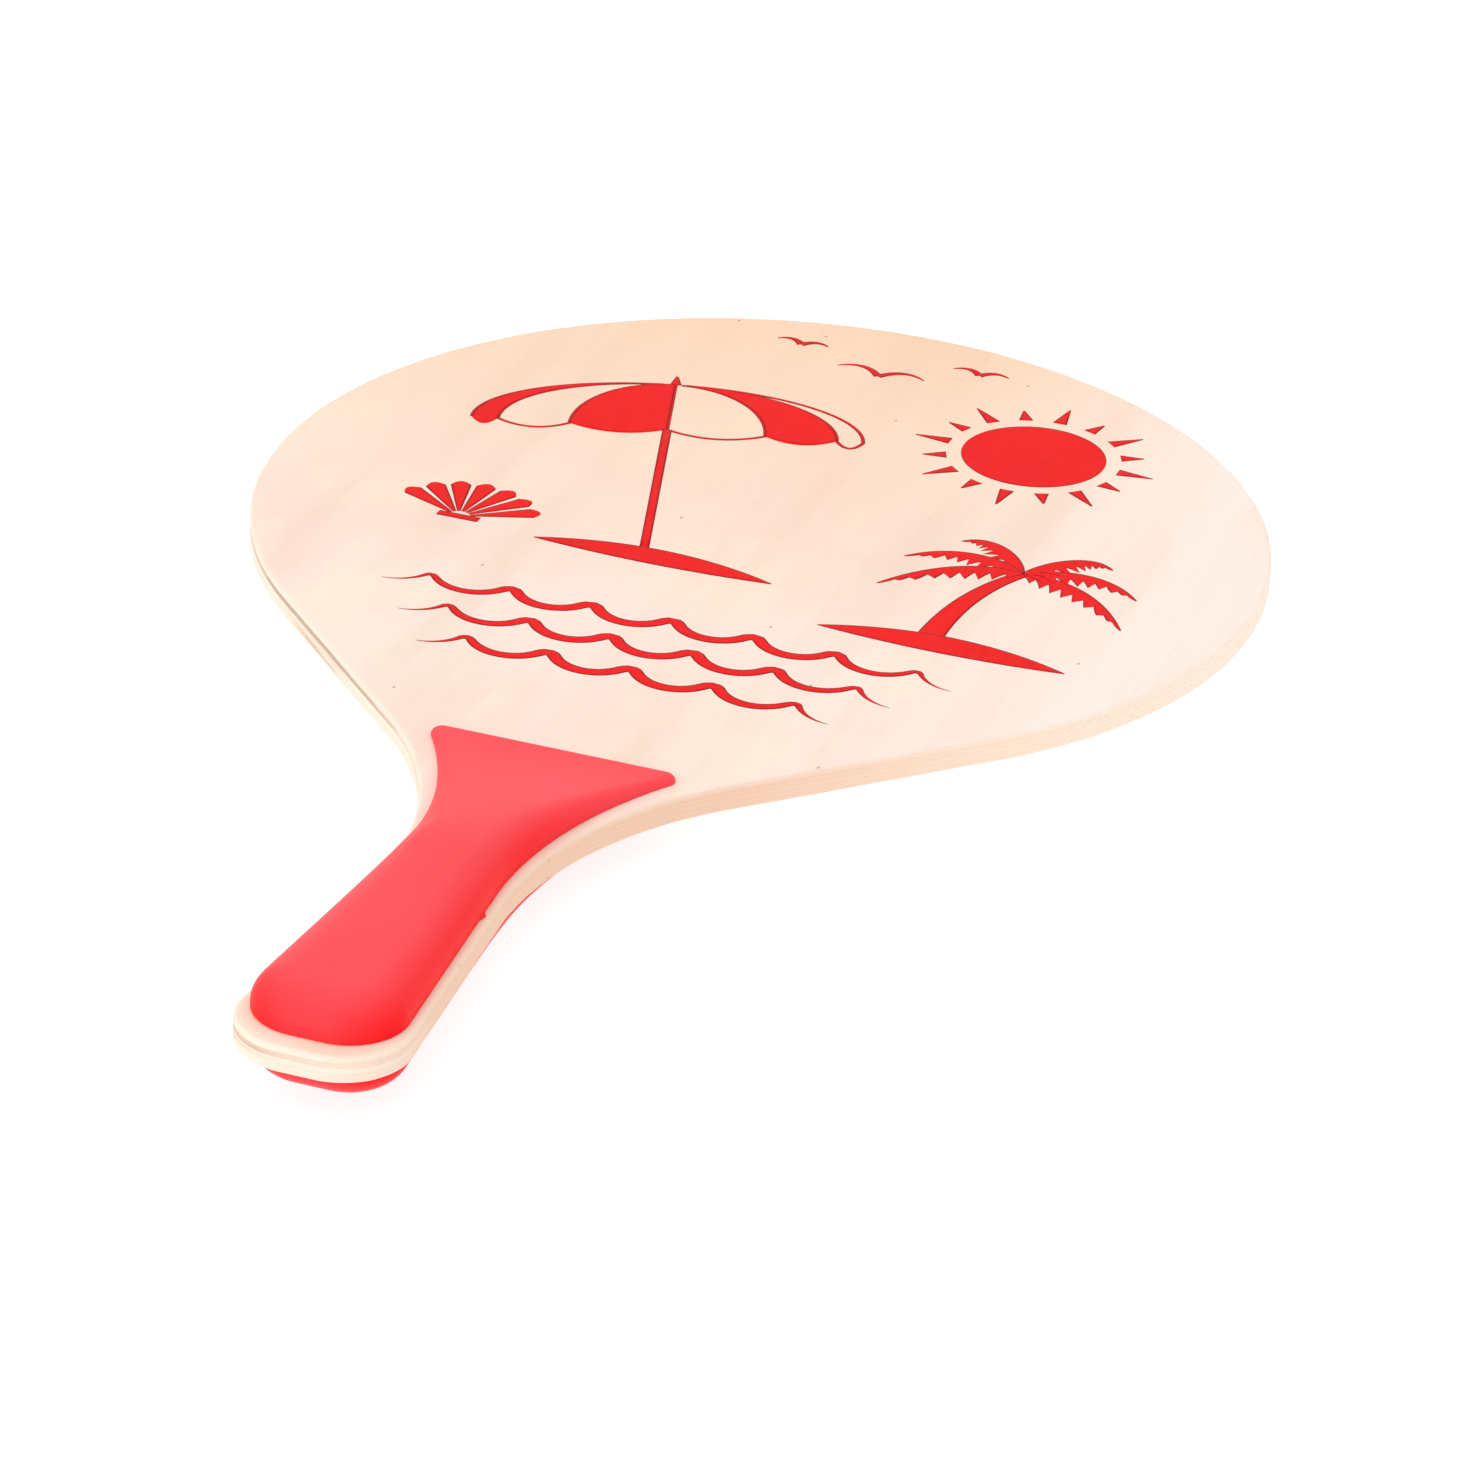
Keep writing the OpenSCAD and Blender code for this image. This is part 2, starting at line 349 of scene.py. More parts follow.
# Stretches of the paddle over which its face turns tan along Y, paler along X and cream along Y
TAN_STRETCH = (20.0, 190.0)
PALE_STRETCH = (20.0, 96.0)
CREAM_STRETCH = (-70.0, -160.0)
# Stretches of the noise over which a fibre's streak and a patch of red come up
STREAK_RISE = (0.44, 0.72)
RED_RISE = (0.35, 0.65)
FLOOR_GLOW = 0.83
FLOOR_ROUGHNESS = 0.9


def colour(code):
    """Linear colour of an sRGB hex value."""
    channels = [int(code[i:i + 2], 16) / 255 for i in (1, 3, 5)]
    linear = [c / 12.92 if c <= 0.04045 else ((c + 0.055) / 1.055) ** 2.4 for c in channels]
    return (*linear, 1.0)


def per(size):
    """How often a pattern of this size in millimetres comes in a metre."""
    return 1 / (size * MM)


def add(tree, kind, sockets=None, result=None, **settings):
    """Adds one node. Settings are its own properties. Sockets are its inputs, each a plain value or the
    output of another node. Returns the output that result names."""
    made = tree.nodes.new("ShaderNode" + kind)
    for name, value in settings.items():
        setattr(made, name, value)
    inputs = {socket.identifier: socket for socket in made.inputs}
    for name, value in (sockets or {}).items():
        if isinstance(value, bpy.types.NodeSocket):
            tree.links.new(value, inputs[name])
        else:
            inputs[name].default_value = value
    return next((socket for socket in made.outputs if socket.identifier == result), None)


def start_material(name):
    """An empty material, its node tree and its Object coordinates."""
    material = bpy.data.materials.new(name)
    material.use_nodes = True
    tree = material.node_tree
    tree.nodes.clear()
    return material, tree, add(tree, "TexCoord", result="Object")


def lay_tint(tree, place, under, code, size, rise, most=1.0, detail=2.0):
    """Lays a tint on a colour in soft patches. Size is the length of a patch along X, Y and Z, in
    millimetres, and rise is the stretch of the noise over which the tint comes up from none to its most."""
    spread = add(tree, "Mapping", {"Vector": place, "Scale": [per(length) for length in size]}, "Vector")
    noise = add(tree, "TexNoise", {"Vector": spread, "Scale": 1.0, "Detail": detail}, "Fac")
    stretch = {"Value": noise, "From Min": rise[0], "From Max": rise[1], "To Max": most}
    share = add(tree, "MapRange", stretch, "Result")
    layers = {"Factor_Float": share, "A_Color": under, "B_Color": colour(code)}
    return add(tree, "Mix", layers, "Result_Color", data_type="RGBA")


def lay_slope(tree, place, under, over, axis, near, far):
    """Lays one colour on another so that it comes up along X or Y, from none at near to all at far."""
    along = add(tree, "SeparateXYZ", {"Vector": place}, axis)
    stretch = {"Value": along, "From Min": near * MM, "From Max": far * MM}
    share = add(tree, "MapRange", stretch, "Result")
    layers = {"Factor_Float": share, "A_Color": under, "B_Color": over}
    return add(tree, "Mix", layers, "Result_Color", data_type="RGBA")


def lay_flecks(tree, place, under, code, size, width):
    """Lays small flecks on a colour, far apart: a spot in the middle of a cell, drawn out with it, in only
    those cells whose own random shade is high. Size is a cell's length along X and Y, and width is a
    spot's, in millimetres."""
    spread = add(tree, "Mapping", {"Vector": place, "Scale": (per(size[0]), per(size[1]), 1)}, "Vector")
    cells = {"Vector": spread, "Scale": 1.0}
    away = add(tree, "TexVoronoi", cells, "Distance", voronoi_dimensions="2D")
    shade = add(tree, "TexVoronoi", cells, "Color", voronoi_dimensions="2D")
    edge = width / size[0] / 2
    fall = {"Value": away, "From Min": FLECK_CORE * edge, "From Max": edge}
    fall.update({"To Min": FLECK_MOST, "To Max": 0.0})
    choice = {"Value": shade, "From Min": FLECK_SHADE[0], "From Max": FLECK_SHADE[1]}
    spot = add(tree, "MapRange", fall, "Result")
    kept = add(tree, "MapRange", choice, "Result")
    share = add(tree, "Math", {"Value": spot, "Value_001": kept}, "Value", operation="MULTIPLY")
    layers = {"Factor_Float": share, "A_Color": under, "B_Color": colour(code)}
    return add(tree, "Mix", layers, "Result_Color", data_type="RGBA")


def lay_rim(tree, under, over):
    """Lays one colour on another by the piece's own rim value."""
    rim = add(tree, "Attribute", result="Fac", attribute_name="rim")
    layers = {"Factor_Float": rim, "A_Color": under, "B_Color": over}
    return add(tree, "Mix", layers, "Result_Color", data_type="RGBA")


def close_material(tree, place, base, size, roughness, depth, specular):
    """Ends a material. One fine relief, with patches of the size given along X, Y and Z, lifts the surface
    by up to depth and takes the roughness from its first value to its second. Sizes are millimetres."""
    spread = add(tree, "Mapping", {"Vector": place, "Scale": [per(length) for length in size]}, "Vector")
    relief = add(tree, "TexNoise", {"Vector": spread, "Scale": 1.0, "Detail": RELIEF_DETAIL}, "Fac")
    stretch = {"Value": relief, "From Min": RELIEF_SPAN[0], "From Max": RELIEF_SPAN[1]}
    stretch.update({"To Min": roughness[0], "To Max": roughness[1]})
    lift = {"Height": relief, "Strength": BUMP_STRENGTH, "Distance": depth * MM}
    sockets = {"Base Color": base, "IOR": PLASTIC_IOR, "Specular IOR Level": specular}
    sockets["Roughness"] = add(tree, "MapRange", stretch, "Result")
    sockets["Normal"] = add(tree, "Bump", lift, "Normal")
    shader = add(tree, "BsdfPrincipled", sockets, "BSDF")
    add(tree, "OutputMaterial", {"Surface": shader})


def routed_edge(tree, place, grain, pale, streak, stain, stain_rise):
    """Colour of a veneer where a cutter has gone through it and sandpaper has smoothed it. Grain is the
    length of a fibre's streak along X, Y and Z. Fibres that lie along the edge show as streaks, and fibres
    that end in it show as dots. On the paddle's left it is grey-brown in patches, partly where hands have
    soiled it and partly painted shade. On its right it is clean and tan, so that the veneers look nearly
    alike there, and paler at the butt and far out: the tan is painted shade and the paler places are
    painted light."""
    # The left side: streaks, then stain patches that also stand in for painted shade
    stained_shaded_left = lay_tint(tree, place, colour(pale), streak, grain, rise=STREAK_RISE, most=0.7, detail=3.0)
    stained_shaded_left = lay_tint(tree, place, stained_shaded_left, stain, STAIN_PATCH, rise=stain_rise, most=0.7)
    # The right side: tan as painted shade, turning to painted light far out and at the butt
    right_light_and_shade = lay_slope(tree, place, colour("#ebc5aa"), colour("#f9ead8"), "X",
                      near=BLADE_R / 3, far=BLADE_R)
    right_light_and_shade = lay_slope(tree, place, right_light_and_shade, colour(pale), "Y",
                      near=BUTT_Y + 2 * BUTT_CORNER_R, far=BUTT_Y + BUTT_CORNER_R / 2)
    right_light_and_shade = lay_tint(tree, place, right_light_and_shade, streak, grain, rise=STREAK_RISE, most=0.5, detail=3.0)
    # The left darker than the right: partly stain, partly painted shade
    return lay_slope(tree, place, stained_shaded_left, right_light_and_shade, "X", near=-BUTT_W / 4, far=BUTT_W / 4)


def sanded_poplar_veneer():
    """Face veneer of the board: poplar, peeled, sanded and sealed with a thin matt lacquer. The eye sees a
    very pale smooth wood with pink and cream clouds, a warmer tan towards the tip, cream on the handle,
    broad faint bands along it and a few dark flecks. Its routed edge has small dirty nicks."""
    material, tree, place = start_material("sanded_poplar_veneer")
    face = lay_tint(tree, place, colour("#f1dccf"), "#f1d4c6", PINK_CLOUDS, rise=(0.4, 0.64), most=0.8)
    face = lay_tint(tree, place, face, "#f4e2cc", CREAM_CLOUDS, rise=(0.5, 0.68), most=0.6, detail=3.0)
    face = lay_slope(tree, place, face, colour("#f1cdae"), "Y", *TAN_STRETCH)
    face = lay_slope(tree, place, face, colour("#f5e3d8"), "X", *PALE_STRETCH)
    face = lay_slope(tree, place, face, colour("#f4e3d0"), "Y", *CREAM_STRETCH)
    face = lay_tint(tree, place, face, "#dab697", FACE_BANDS, rise=(0.47, 0.7), most=0.24, detail=3.0)
    face = lay_tint(tree, place, face, "#d3b196", PORES, rise=(0.55, 0.8), most=0.11, detail=3.0)
    face = lay_flecks(tree, place, face, "#74604e", FLECK_CELL, width=0.9)
    edge = routed_edge(tree, place, FIBRES_ALONG,
                       pale="#f2dac9", streak="#e8c9b3", stain="#d8b399", stain_rise=(0.54, 0.74))
    edge = lay_flecks(tree, place, edge, "#8a715b", NICK_CELL, width=1.3)
    both = lay_rim(tree, face, edge)
    close_material(tree, place, both, PORES, roughness=(0.5, 0.64), depth=0.05, specular=0.3)
    return material


def routed_inner_veneer(name, grain, **edge_colours):
    """Inner veneer of the board, poplar too, seen only where the edge was routed and sanded. The eye sees
    a thin streaky strip, close to the face veneers in most places and grey-brown in patches on the left,
    partly where hands soiled it and partly painted shade."""
    material, tree, place = start_material(name)
    edge = routed_edge(tree, place, grain, **edge_colours)
    close_material(tree, place, edge, grain, roughness=(0.55, 0.75), depth=0.05, specular=0.25)
    return material


def moulded_red_plastic():
    """Grip halves: ABS, injection moulded in a mould with a fine satin blast. The eye sees a bright red
    with a broad soft sheen. Its colour carries painted shade, a deeper red on the flanks, and a painted
    sheen, a paler red on the crest and on the fan. From close by the paler places have hair scuffs."""
    material, tree, place = start_material("moulded_red_plastic")
    # Painted shade: the deeper red of the flanks
    shaded_red = lay_tint(tree, place, colour("#f50f13"), "#f51418", RED_PATCH, rise=RED_RISE, most=0.6)
    # Painted sheen: the paler red of the crest and the fan, with hair scuffs laid on it
    sheen_and_scuffs = lay_tint(tree, place, colour("#f3454d"), "#f54b54", RED_PATCH, rise=RED_RISE, most=0.6)
    sheen_and_scuffs = lay_tint(tree, place, sheen_and_scuffs, "#f86462", HAIR_SCUFFS, rise=(0.74, 0.82), most=0.2, detail=1.0)
    both = lay_rim(tree, shaded_red, sheen_and_scuffs)
    close_material(tree, place, both, MOULD_GRIT, roughness=(0.36, 0.44), depth=0.02, specular=0.07)
    return material


def screen_printed_ink():
    """Print on the blade: solvent ink pulled through a screen onto the sealed veneer. The eye sees a flat
    even red with a dry sheen, a little thinner over the wood's pores, and darker in a line at its edges,
    where the ink gathers as it dries."""
    material, tree, place = start_material("screen_printed_ink")
    red = colour("#ea0f0d")
    red = lay_tint(tree, place, red, "#dc0c0e", INK_CLOUDS, rise=(0.4, 0.7), most=0.5, detail=3.0)
    red = lay_tint(tree, place, red, "#f04a40", PORES, rise=(0.6, 0.8), most=0.25, detail=3.0)
    both = lay_rim(tree, red, colour("#5c0a16"))
    close_material(tree, place, both, PORES, roughness=(0.62, 0.76), depth=0.03, specular=0.12)
    return material


def pale_floor():
    """Matt acrylic top of a light table, lit from within to white, which takes the depth out of shadows.
    From below it is clear, so the underside can be looked at."""
    material, tree, place = start_material("pale_floor")
    sheet = lay_tint(tree, place, colour("#8d8d8c"), "#898988", FLOOR_CLOUDS, rise=(0.4, 0.6))
    sockets = {"Base Color": sheet, "Roughness": FLOOR_ROUGHNESS}
    sockets.update({"Emission Color": colour("#ffffff"), "Emission Strength": FLOOR_GLOW})
    shader = add(tree, "BsdfPrincipled", sockets, "BSDF")
    clear = add(tree, "BsdfTransparent", result="BSDF")
    below = add(tree, "NewGeometry", result="Backfacing")
    mixed = add(tree, "MixShader", {"Fac": below, "Shader": shader, "Shader_001": clear}, "Shader")
    add(tree, "OutputMaterial", {"Surface": mixed})
    return material


# The board


def ply_profile(points, low, high, round_low, round_high):
    """Depth and height of a veneer's edge profile, ring by ring, and how much each ring is rim and not
    face. A face veneer has one arris rounded to a quarter circle, by a radius that varies along the edge,
    and a plain corner has a groove at the glue line."""
    radius = ARRIS_R + ARRIS_UNEVEN * (2 * waver(points, ARRIS_WAVES) - 1)
    turn = np.linspace(0, QUARTER, ROUND_STEPS)[:, None]
    rounded = (
        np.concatenate([radius * (1 - np.cos(turn)), radius[None] + FACE_HOLD]),
        np.concatenate([radius * (1 - np.sin(turn)), 0 * radius[None]]),
        np.append(np.linspace(1, 0, ROUND_STEPS) ** RIM_FADE, 0),
    )
    plain = (
        np.array([[0.0], [GLUE_GROOVE]]) + 0 * radius,
        np.array([[GLUE_GROOVE], [0.0]]) + 0 * radius,
        np.ones(2),
    )
    top_depth, top_fall, top_rim = rounded if round_high else plain
    foot_depth, foot_rise, foot_rim = rounded if round_low else plain
    depth = np.concatenate([foot_depth[::-1], top_depth]) + RIM_UNEVEN * waver(points, RIM_WAVES)
    height = np.concatenate([low + foot_rise[::-1], high - top_fall])
    return depth, height, np.concatenate([foot_rim[::-1], top_rim])


def make_ply(name, material):
    """One veneer of the board: its edge profile carried round the whole edge, closed by flat faces that
    run straight across from the right half to the left half."""
    low, high = box_mm(name)
    edge = board_edge()
    half, size = len(edge[0]), 2 * len(edge[0])
    ring, outs = whole_ring(edge, FLAT_COLUMNS)
    rounded_ends = (name == "rear_face_ply", name == "front_face_ply")
    depth, height, rim = ply_profile(ring, low[2], high[2], *rounded_ends)
    rings = stack_rings(ring, outs, depth, height)
    last = (len(rings) - 1) * size
    upper = grid_faces(cap_index(last, half, FLAT_COLUMNS))
    lower = grid_faces(cap_index(0, half, FLAT_COLUMNS))[:, ::-1]
    faces = np.concatenate([wall_faces(len(rings), size), upper, lower])
    values = np.repeat(rim, size)
    make_piece(name.replace("_ply", "_veneer"), rings.reshape(-1, 3), faces, material, values, name)


VENEERS = {
    "face": sanded_poplar_veneer(),
    "front_cross": routed_inner_veneer(
        "routed_front_cross_veneer", FIBRES_ACROSS,
        pale="#eed3bf", streak="#e3c0a7", stain="#9c8570", stain_rise=(0.35, 0.56)),
    "core": routed_inner_veneer(
        "routed_core_veneer", FIBRES_ALONG,
        pale="#f3dece", streak="#eacdb8", stain="#d6b59b", stain_rise=(0.54, 0.74)),
    "rear_cross": routed_inner_veneer(
        "routed_rear_cross_veneer", FIBRES_ACROSS,
        pale="#f1dac8", streak="#e7c9b3", stain="#a8907a", stain_rise=(0.6, 0.74)),
}
for ply in PLIES:
    kind = next(word for word in VENEERS if word in ply)
    make_ply(ply, VENEERS[kind])


# The grip halves


def crest(y):
    """Height of a grip's crest above the board: eased off by a parabola at the butt, then level, then a
    smooth fall to the front edge."""
    ramp = smooth((y - ramp_start) / RAMP_LEN)
    ease = np.clip(1 - (y - GRIP_BUTT_Y) / BUTT_EASE_LEN, 0, 1)
    return GRIP_H - (GRIP_H - GRIP_FRONT_H) * ramp - BUTT_EASE * ease * ease


def grip_rings(ring, outs):
    """The flank of a grip, ring by ring: a small groove at the seat, an upright foot, and a quarter
    ellipse that ends where it meets the slope of the crown. A nub of the moulding gate stands out low on
    each side, as a bell curve along it. Also returns the crown, which swells the crest across and dies
    away at the butt and at the front edge."""
    y = ring[:, 1]
    tall = crest(y)
    foot, rise = (1 - HEIGHT_SHARE) * tall, HEIGHT_SHARE * tall
    width = np.minimum(min(CREST_ROUND, CORNER_SHARE * GRIP_BUTT_R), ROUND_SHARE * tall)
    from_butt = y - width * outs[:, 1] - GRIP_BUTT_Y - CREST_ROUND
    crown = CREST_CROWN * smooth(from_butt / CROWN_FADE) * (tall - GRIP_FRONT_H) / (GRIP_H - GRIP_FRONT_H)
    half_crest = np.maximum(np.abs(ring[:, 0]) - width, LEAST_HALF_CREST)
    turn = np.linspace(0, 1, ROUND_STEPS)[:, None] * np.arctan2(rise, width * 2 * crown / half_crest)
    nub = NUB_OUT * np.abs(outs[:, 0]) * np.exp(-((y - BUTT_Y - NUB_Y) / NUB_HALF) ** 2)
    seat_depth = np.stack([SEAM_GROOVE - nub, -nub, 0 * nub])
    seat_height = np.stack([0 * tall, np.minimum(SEAM_GROOVE, GROOVE_SHARE * foot), NUB_SHARE * foot])
    depth = np.concatenate([seat_depth, width * (1 - np.cos(turn))])
    height = np.concatenate([seat_height, foot + rise * np.sin(turn)])
    # The ramp carries each ring down with it, and the crown's top stays at the crest's own height
    inner_y = y - depth * outs[:, 1]
    height = height * crest(inner_y) / (height[-1] + crown)
    return stack_rings(ring, outs, depth, height), crown


def painted_sheen_share(ring, outs, count):
    """How much painted sheen each point of a flank's count rings gets, against painted shade: nothing at
    the foot of a side, some at the butt, and all at the crest and at the end of the fan, with smooth
    changes up the flank and along the ramp."""
    climb = np.concatenate([np.zeros(count - ROUND_STEPS), np.linspace(0, 1, ROUND_STEPS)])[:, None]
    fan = (ring[:, 1] - ramp_start) / RAMP_LEN
    shaded_foot = 1 - BUTT_SHEEN * (1 - np.abs(outs[:, 0]))
    return 1 - shaded_foot * (1 - smooth(fan)) * (1 - smooth(climb))


def make_grip(name, material, seat, up):
    """One grip half on the face at height seat, growing by up. Its crest is a grid: each row runs straight
    across and swells by the crown, as one minus the square of the share across. Its seat is flat."""
    edge = grip_edge()
    half = len(edge[0])
    ring, outs = whole_ring(edge, CREST_COLUMNS)
    rings, crown = grip_rings(ring, outs)
    count, size = rings.shape[:2]
    across = np.linspace(1, -1, CREST_COLUMNS)[1:-1]
    inner = []
    for level, swell in ((rings[-1, :half], crown[:half]), (rings[0, :half], 0 * crown[:half])):
        rows, lift = level[1:-1, None], swell[1:-1, None]
        inside = np.stack([rows[..., 0] * across, rows[..., 1] + 0 * across,
                           rows[..., 2] + lift * (1 - across ** 2)], axis=-1)
        inner.append(inside.reshape(-1, 3))
    top_first = count * size
    seat_first = top_first + len(inner[0])
    top = grid_faces(cap_index(top_first - size, half, CREST_COLUMNS, top_first))
    foot = grid_faces(cap_index(0, half, CREST_COLUMNS, seat_first))[:, ::-1]
    faces = np.concatenate([wall_faces(count, size), top, foot])
    vertices = np.concatenate([rings.reshape(-1, 3), *inner])
    vertices[:, 2] = seat + up * vertices[:, 2]
    # The whole crest carries the painted sheen
    sheen_crest = np.ones(len(inner[0]) + len(inner[1]))
    values = np.concatenate([painted_sheen_share(ring, outs, count).ravel(), sheen_crest])
    outward = faces if up > 0 else faces[:, ::-1]
    make_piece(name + "_half", vertices, outward, material, values, name)


red_plastic = moulded_red_plastic()
make_grip("front_grip", red_plastic, FRONT_Z, 1)
make_grip("rear_grip", red_plastic, REAR_Z, -1)


# The print, placed in millimetres from the middle of the blade: X to the right and Y to the tip

# The film of ink: its height, how deep its foot lies in the veneer, and the step from patch to patch
INK_T = 0.04
INK_SUNK = 0.03
INK_STEP = 0.002
# The line of thicker ink at a patch's edges, and the width of patch below which that line narrows
INK_LINE = 0.55
FULL_LINE_WIDTH = 3 * INK_LINE
INK_COLUMNS = 9
# Power by which a swell comes up along a patch
SWELL_POWER = 6

# The sun. Its disc's edges start at a small angle, and its rays end in a share of their width
SUN_AT = np.array([46.0, 60.0])
SUN_R = 17.0
SUN_POINTS = 60
SUN_END = 0.04
SUN_RAYS = 16
RAY_START = 20.5
RAY_ENDS = (29.0, 26.0)
RAY_HALF = 1.7
RAY_TIP = 0.12
RAY_POINTS = 8

# The parasol. Its ribs start at a small share of their fall
PARASOL_AT = np.array([-44.0, 62.0])
PARASOL_TILT = math.radians(16)
PARASOL_HALF = 46.0
PARASOL_H = 26.0
PARASOL_PANELS = 6
PARASOL_SAG = 3.5
RIB_HALF = 0.45
RIB_START = 0.04
RIB_POINTS = 40
HEM_POINTS = 30
POLE_LEN = 92.0
POLE_HALF = 1.1
POLE_POINTS = 12
FINIAL_LEN = 5.0
FINIAL_HALF = (1.4, 0.3)
FINIAL_POINTS = 6

# Heaps of sand. Each stops short of its points, and its lower side has a share of its rise
HEAP_POINTS = 50
HEAP_END = 0.98
HEAP_FALL = 0.3
MOUND_AT = np.array([-15.0, -31.0])
MOUND_HALF = 29.0
MOUND_H = 6.0
ISLAND_AT = np.array([58.0, -46.0])
ISLAND_HALF = 29.0
ISLAND_H = 6.5

# The palm. Its fronds are fullest at a third of their length, by the power FROND_FULL. A frond's upper
# side has a share of its half width, and a tooth's notch leaves a share of its lower side
TRUNK_FOOT = np.array([54.0, -44.0])
TRUNK_BEND = np.array([53.0, -18.0])
CROWN_AT = np.array([63.0, -2.0])
TRUNK_HALF = (3.2, 1.5)
FROND_TURNS = (-12, 20, 52, 128, 160, 192)
FROND_LEN = 29.0
FROND_HALF = 5.6
FROND_STEM = 0.2
FROND_UPPER = 0.3
FROND_FULL = 0.6
FROND_BEND = 0.6
FROND_LIFT = 3.0
FROND_DROOP = 0.42
FROND_TEETH = 9
TOOTH_NOTCH = 0.25
TOOTH_POINTS = 6

# The waves. A rolling point lies at a share of its wheel's radius, and the bands thin out by a power
WAVE_HEIGHTS = (-62.0, -75.0, -88.0)
WAVE_COUNTS = (7, 6, 5)
WAVE_LEN = 19.0
WAVE_RISE = 2.6
WAVE_ROLL = 0.75
WAVE_BAND = 3.0
WAVE_TIP = 0.1
WAVE_TAPER = 4
WAVE_POINTS = 160

# The shell. Its ribs start at a share of its radius, and half of one has a share of their spacing
SHELL_AT = np.array([-63.0, -28.0])
SHELL_R = 17.0
SHELL_RIBS = 7
SHELL_SPREAD = math.radians(140)
SHELL_START = 0.16
SHELL_RIB_HALF = 0.4
SHELL_SWELL = 2.0
SHELL_POINTS = 24
HINGE_HALF = 5.0
HINGE_THICK = 1.2
HINGE_POINTS = 8

# The gulls: place and span of each, and a wing's bend and end as shares of the span, out and up
GULLS = ((-2.0, 88.0, 22.0), (20.0, 99.0, 14.0), (-25.0, 98.0, 13.0))
WING_BEND = np.array([0.22, 0.32])
WING_END = np.array([0.5, 0.1])
WING_TIP = 0.12
WING_ROOT = 0.9
WING_TAPER = 0.7
WING_POINTS = 24


def strip(right, left, swell=(0.0, 0.0)):
    """A printed patch between two edges with as many points each: its rows run straight across from the
    right edge to the left one, with a narrow column along each edge for the line of thicker ink. Swell
    pushes the patch's far end out, by a parabola across and by a power of the share along."""
    across = left - right
    gap = np.linalg.norm(across, axis=1, keepdims=True)
    border = INK_LINE / np.maximum(gap, FULL_LINE_WIDTH)
    inner = border + (1 - 2 * border) * np.linspace(0, 1, INK_COLUMNS)
    share = np.concatenate([0 * gap, inner, 0 * gap + 1], axis=1)[..., None]
    along = np.linspace(0, 1, len(right))[:, None, None] ** SWELL_POWER
    return right[:, None] + share * across[:, None] + hump(share) * along * np.array(swell)


def ribbon(path, right, left):
    """A patch that follows a path, with its own half width to the right and to the left of each point."""
    run = np.gradient(path, axis=0)
    run = run / np.linalg.norm(run, axis=1, keepdims=True)
    aside = np.stack([-run[:, 1], run[:, 0]], axis=1)
    return strip(path - np.reshape(right, (-1, 1)) * aside, path + np.reshape(left, (-1, 1)) * aside)


def bow(start, bend, end, share):
    """Points of the parabola from start to end that heads for bend at both of its ends."""
    share = share[:, None]
    return (1 - share) ** 2 * start + 2 * share * (1 - share) * bend + share ** 2 * end


def heap(at, half, rise):
    """A low heap of sand: a parabola above a shallower one."""
    share = np.linspace(-HEAP_END, HEAP_END, HEAP_POINTS)
    arch = 1 - share ** 2
    foot = np.stack([at[0] + half * share, at[1] - HEAP_FALL * rise * arch], axis=1)
    top = np.stack([at[0] + half * share, at[1] + rise * arch], axis=1)
    return strip(foot, top)


def sun():
    """A disc between its lower and its upper half circle, and tapered rays, long and short in turn."""
    turn = np.linspace(SUN_END, math.pi - SUN_END, SUN_POINTS)
    strips = [strip(SUN_AT - SUN_R * heading(turn), SUN_AT + SUN_R * heading(turn) * [-1, 1])]
    half = RAY_HALF * np.linspace(1, RAY_TIP, RAY_POINTS)
    for ray in range(SUN_RAYS):
        out = heading(2 * math.pi * ray / SUN_RAYS)
        path = SUN_AT + np.linspace(RAY_START, RAY_ENDS[ray % 2], RAY_POINTS)[:, None] * out
        strips.append(ribbon(path, half, half))
    return strips


def parasol():
    """A canopy of ribs, each the quarter ellipse that a meridian of a dome shows from the side, with every
    second panel filled and every panel's hem sagging between its ribs, on a pole with a finial."""
    fall = np.linspace(RIB_START, 1, RIB_POINTS) * QUARTER
    turns = np.linspace(-QUARTER, QUARTER, PARASOL_PANELS + 1)
    drop = PARASOL_H * (np.cos(fall) - 1)
    ribs = [np.stack([PARASOL_HALF * math.sin(turn) * np.sin(fall), drop], axis=1) for turn in turns]
    strips = [ribbon(rib, RIB_HALF, RIB_HALF) for rib in ribs]
    share = np.linspace(0, 1, HEM_POINTS)[:, None]
    sag = np.array([0.0, -PARASOL_SAG])
    for panel, (first, second) in enumerate(zip(ribs[:-1], ribs[1:])):
        if panel % 2:
            hem = first[-1] + share * (second[-1] - first[-1]) + hump(share) * sag
            strips.append(ribbon(hem, RIB_HALF, RIB_HALF))
        else:
            strips.append(strip(first, second, sag))
    upright = np.array([0.0, 1.0])
    pole = upright * np.linspace(-PARASOL_H, -POLE_LEN, POLE_POINTS)[:, None]
    finial = upright * np.linspace(0, FINIAL_LEN, FINIAL_POINTS)[:, None]
    finial_half = np.linspace(*FINIAL_HALF, FINIAL_POINTS)
    strips.append(ribbon(pole, POLE_HALF, POLE_HALF))
    strips.append(ribbon(finial, finial_half, finial_half))
    lean = np.stack([heading(PARASOL_TILT), heading(PARASOL_TILT + QUARTER)])
    return [patch @ lean + PARASOL_AT for patch in strips] + [heap(MOUND_AT, MOUND_HALF, MOUND_H)]


